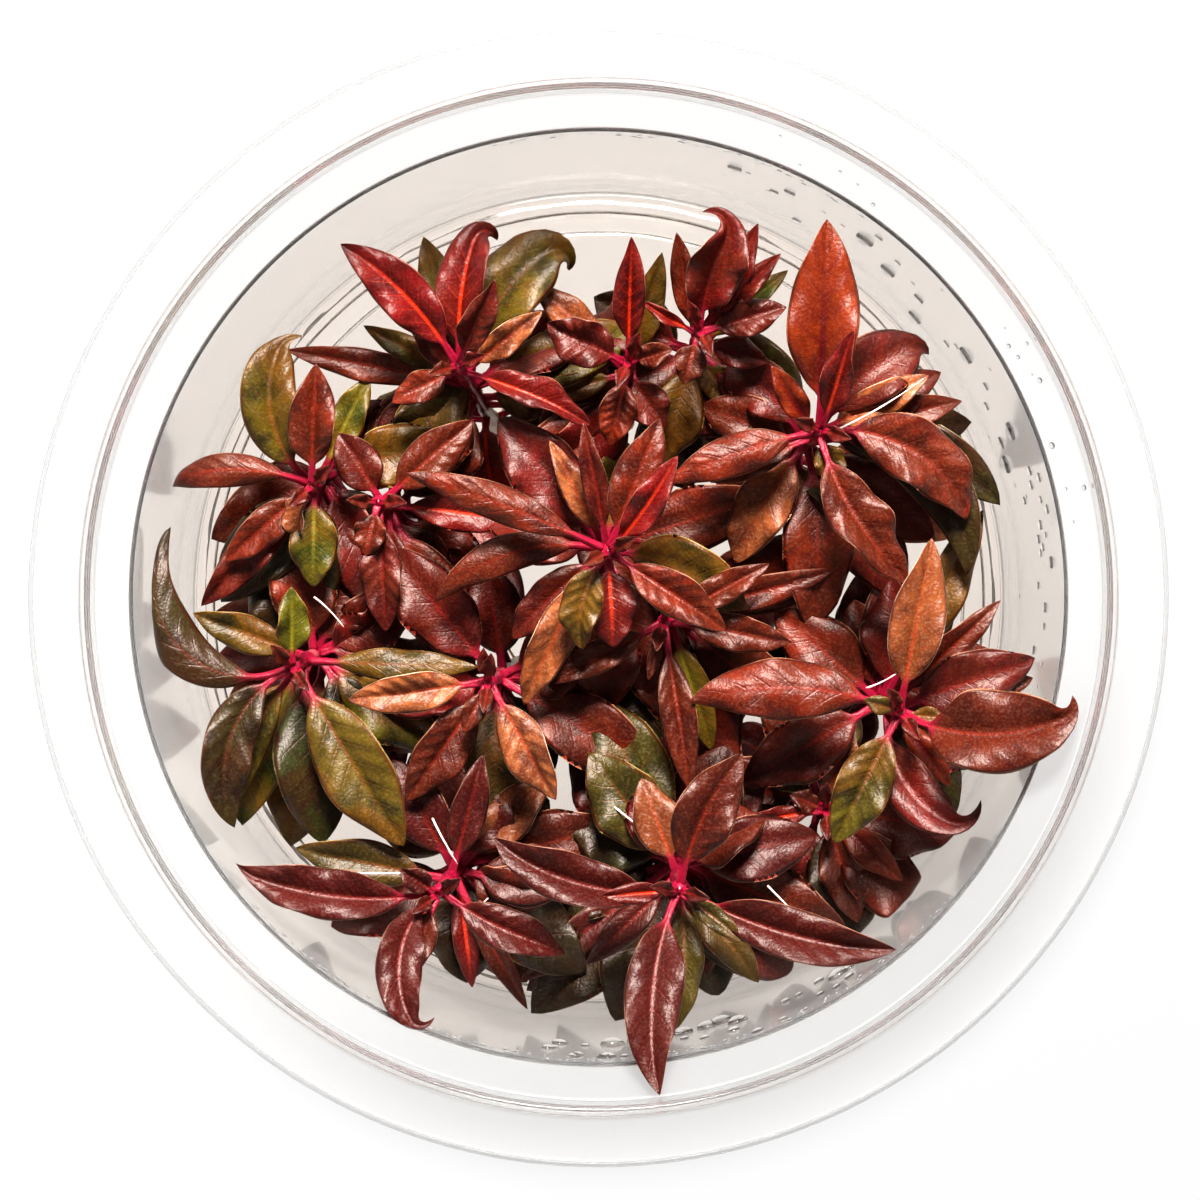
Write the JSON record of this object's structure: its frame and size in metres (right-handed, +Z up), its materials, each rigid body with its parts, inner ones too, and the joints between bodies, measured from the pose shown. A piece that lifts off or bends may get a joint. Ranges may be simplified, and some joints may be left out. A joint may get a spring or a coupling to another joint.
{
  "type": "mini alternanthera reineckii in a tissue culture cup",
  "caption": "Clear open culture cup with a flange, holding growing jelly and a dense stand of red-leaved aquarium plant shoots.",
  "frame": {"origin": "middle of the cup's foot, on the surface that it stands on", "axes": "+Z up out of the cup's mouth; +Y is away from a viewer who stands in front, +X to the right"},
  "size_m": [0.11, 0.11, 0.0555],
  "materials": {
    "cup": "clear moulded plastic, polished",
    "jelly": "clear pinkish-beige growing jelly, wet",
    "stem": "satin crimson stem and leaf stalks",
    "leaf_ruby": "satin wine-red leaf with a bright red midrib",
    "leaf_wine": "satin dark wine leaf",
    "leaf_bronze": "satin red-brown leaf",
    "leaf_copper": "satin orange-brown leaf",
    "leaf_ember": "thin orange-red leaf that light shines through",
    "leaf_olive": "satin olive leaf with brown patches",
    "leaf_moss": "satin dark green-brown leaf"
  },
  "bodies": {
    "root": {"cup": "cup", "jelly": "jelly", "stem_northwest": "stem", "stem_north": "stem", "stem_north_northeast": "stem", "stem_northeast": "stem", "stem_centre": "stem", "stem_inner_east": "stem", "stem_east": "stem", "stem_south": "stem", "stem_south_southwest": "stem", "stem_inner_southwest": "stem", "stem_west_southwest": "stem", "stem_inner_west": "stem", "stem_west_northwest": "stem", "stem_southeast": "stem", "leaf_northwest_1": "leaf_ruby", "leaf_northwest_2": "leaf_ruby", "leaf_northwest_3": "leaf_wine", "leaf_northwest_4": "leaf_ruby", "leaf_north_1": "leaf_ruby", "leaf_north_2": "leaf_wine", "leaf_north_3": "leaf_bronze", "leaf_north_northeast_1": "leaf_wine", "leaf_north_northeast_2": "leaf_wine", "leaf_north_northeast_3": "leaf_wine", "leaf_northeast_1": "leaf_ember", "leaf_northeast_2": "leaf_ruby", "leaf_northeast_3": "leaf_bronze", "leaf_northeast_4": "leaf_bronze", "leaf_centre_1": "leaf_bronze", "leaf_centre_2": "leaf_bronze", "leaf_centre_3": "leaf_bronze", "leaf_centre_4": "leaf_olive", "leaf_inner_east_1": "leaf_bronze", "leaf_inner_east_2": "leaf_bronze", "leaf_inner_east_3": "leaf_bronze", "leaf_east_1": "leaf_copper", "leaf_east_2": "leaf_wine", "leaf_east_3": "leaf_olive", "leaf_east_4": "leaf_bronze", "leaf_south_1": "leaf_bronze", "leaf_south_2": "leaf_wine", "leaf_south_3": "leaf_wine", "leaf_south_4": "leaf_wine", "leaf_south_southwest_1": "leaf_wine", "leaf_south_southwest_2": "leaf_wine", "leaf_south_southwest_3": "leaf_wine", "leaf_inner_southwest_1": "leaf_copper", "leaf_inner_southwest_2": "leaf_copper", "leaf_inner_southwest_3": "leaf_bronze", "leaf_west_southwest_1": "leaf_moss", "leaf_west_southwest_2": "leaf_moss", "leaf_west_southwest_3": "leaf_olive", "leaf_inner_west_1": "leaf_wine", "leaf_inner_west_2": "leaf_bronze", "leaf_west_northwest_1": "leaf_bronze", "leaf_west_northwest_2": "leaf_olive", "leaf_west_northwest_3": "leaf_bronze"}
  },
  "joints": []
}
